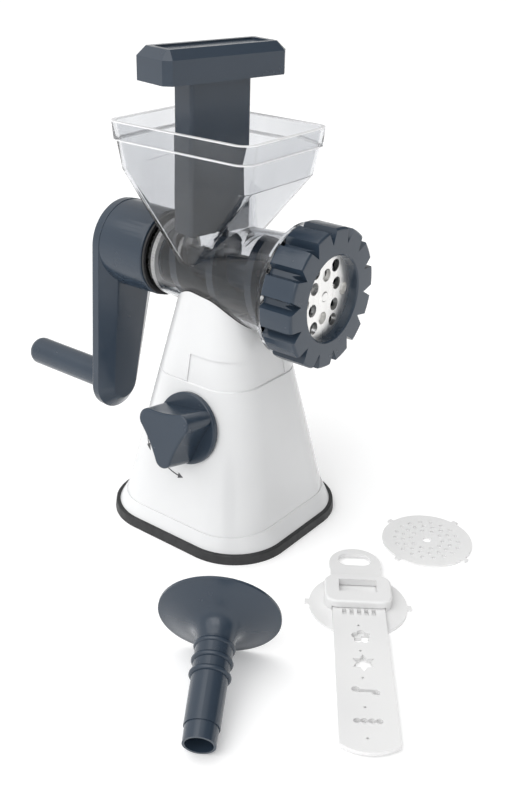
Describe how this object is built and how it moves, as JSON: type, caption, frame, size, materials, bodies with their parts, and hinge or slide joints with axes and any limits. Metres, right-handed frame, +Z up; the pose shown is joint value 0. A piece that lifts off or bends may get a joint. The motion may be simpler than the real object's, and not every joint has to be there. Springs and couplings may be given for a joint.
{
  "type": "hand crank meat grinder",
  "caption": "Table-top hand crank meat grinder with a suction foot, clear hopper and barrel, auger, knife, plate, pusher, funnel and cookie slide.",
  "frame": {"origin": "centre of the stand's foot, on the table", "axes": "+Z up, +Y along the auger towards the crank, the outlet faces -Y, the suction knob is on the -X wall"},
  "size_m": [0.2533, 0.3528, 0.2802],
  "materials": {
    "white_plastic": "glossy white ABS",
    "slate_plastic": "slate blue-grey glossy plastic",
    "clear_plastic": "clear polycarbonate, slightly grey",
    "foot_rubber": "matt charcoal rubber",
    "black_rubber": "black rubber",
    "steel": "satin stainless steel",
    "bush_nylon": "natural nylon",
    "accessory_plastic": "white food-grade plastic"
  },
  "bodies": {
    "stand": {"base_ring": "foot_rubber", "suction_pad": "foot_rubber", "base_shell": "white_plastic", "stem_guide": "white_plastic", "guide_screws": "steel", "saddle_screws": "steel", "saddle_housing": "white_plastic", "foot_screw": "steel", "grinder_body": "clear_plastic", "rear_bush": "bush_nylon", "rear_gasket": "black_rubber", "coarse_plate": "steel", "fine_plate": "accessory_plastic", "sausage_funnel": "slate_plastic", "cookie_disc": "accessory_plastic"},
    "crank": {"crank_arm": "slate_plastic", "crank_cover": "slate_plastic", "crank_screw": "slate_plastic", "grip_spindle": "steel", "auger": "slate_plastic", "auger_pin": "steel", "knife_blade": "steel"},
    "grip": {"crank_grip": "slate_plastic"},
    "nut": {"ring_nut": "slate_plastic"},
    "pusher": {"pusher_shaft": "slate_plastic", "pusher_cap": "slate_plastic"},
    "knob": {"suction_knob": "slate_plastic", "cam_shaft": "steel", "cam_clip": "steel"},
    "stem": {"lift_stem": "bush_nylon"},
    "slide": {"cookie_slide": "accessory_plastic"}
  },
  "joints": [
    {"name": "crank_turn", "type": "hinge", "parent": "stand", "child": "crank", "pos_m": [0, 0.06, 0.1568], "axis": [0, 1, 0], "continuous": true},
    {"name": "grip_spin", "type": "hinge", "parent": "crank", "child": "grip", "pos_m": [-0.01414, 0.12, 0.06751], "axis": [0, 1, 0], "continuous": true},
    {"name": "nut_turn", "type": "hinge", "parent": "stand", "child": "nut", "pos_m": [0, -0.06, 0.1568], "axis": [0, -1, 0], "range_deg": [0, 120]},
    {"name": "pusher_slide", "type": "slide", "parent": "stand", "child": "pusher", "axis": [0, 0, 1], "range_m": [0, 0.07]},
    {"name": "knob_turn", "type": "hinge", "parent": "stand", "child": "knob", "pos_m": [-0.03995, -0.0048, 0.072], "axis": [-0.9799, 0, 0.1994], "range_deg": [-90, 0]},
    {"name": "stem_lift", "type": "slide", "parent": "stand", "child": "stem", "axis": [0, 0, 1], "range_m": [0, 0.00433], "deforming": ["suction_pad"]},
    {"name": "slide_run", "type": "slide", "parent": "stand", "child": "slide", "axis": [0.8111, 0.585, 0], "range_m": [-0.012, 0.034]}
  ],
  "couplings": [
    {"joint": "stem_lift", "follows": "knob_turn", "m_per_rad": -0.0027563}
  ]
}
